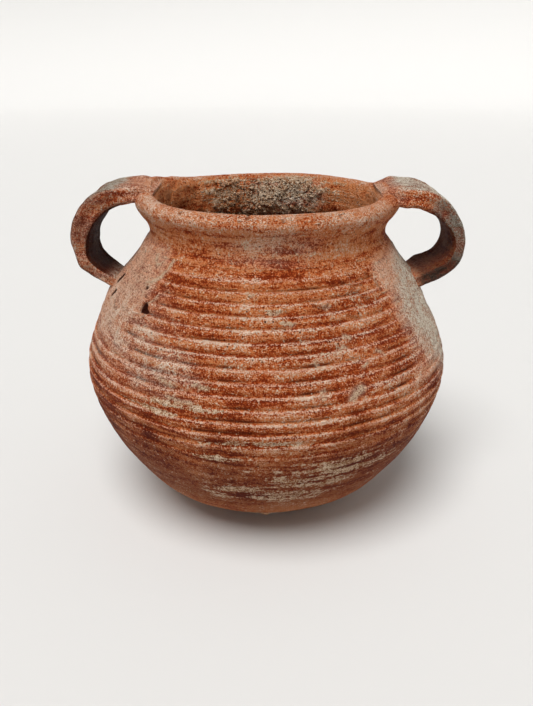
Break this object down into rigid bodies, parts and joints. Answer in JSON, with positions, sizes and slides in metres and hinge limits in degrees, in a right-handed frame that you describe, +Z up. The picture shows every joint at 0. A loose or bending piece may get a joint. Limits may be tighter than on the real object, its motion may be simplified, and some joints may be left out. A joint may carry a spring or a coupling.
{
  "type": "two-handled clay pot",
  "caption": "Squat round-bodied clay pot with a ribbed wall, a short neck, an everted rim and two strap handles from rim to shoulder.",
  "frame": {"origin": "centre of the small flat resting spot under the round base, on the pot's axis", "axes": "+Z up the pot's axis and out of the mouth; +X towards the right handle, so the two handles stand on the X axis; +Y to the back"},
  "size_m": [0.1338, 0.13, 0.1163],
  "materials": {
    "terracotta": "unglazed, fired, weathered"
  },
  "bodies": {
    "root": {"base_cap": "terracotta", "belly_wall": "terracotta", "neck_and_rim": "terracotta", "left_handle": "terracotta", "right_handle": "terracotta", "left_rim_wad": "terracotta", "right_rim_wad": "terracotta", "left_shoulder_wad": "terracotta", "right_shoulder_wad": "terracotta"}
  },
  "joints": []
}
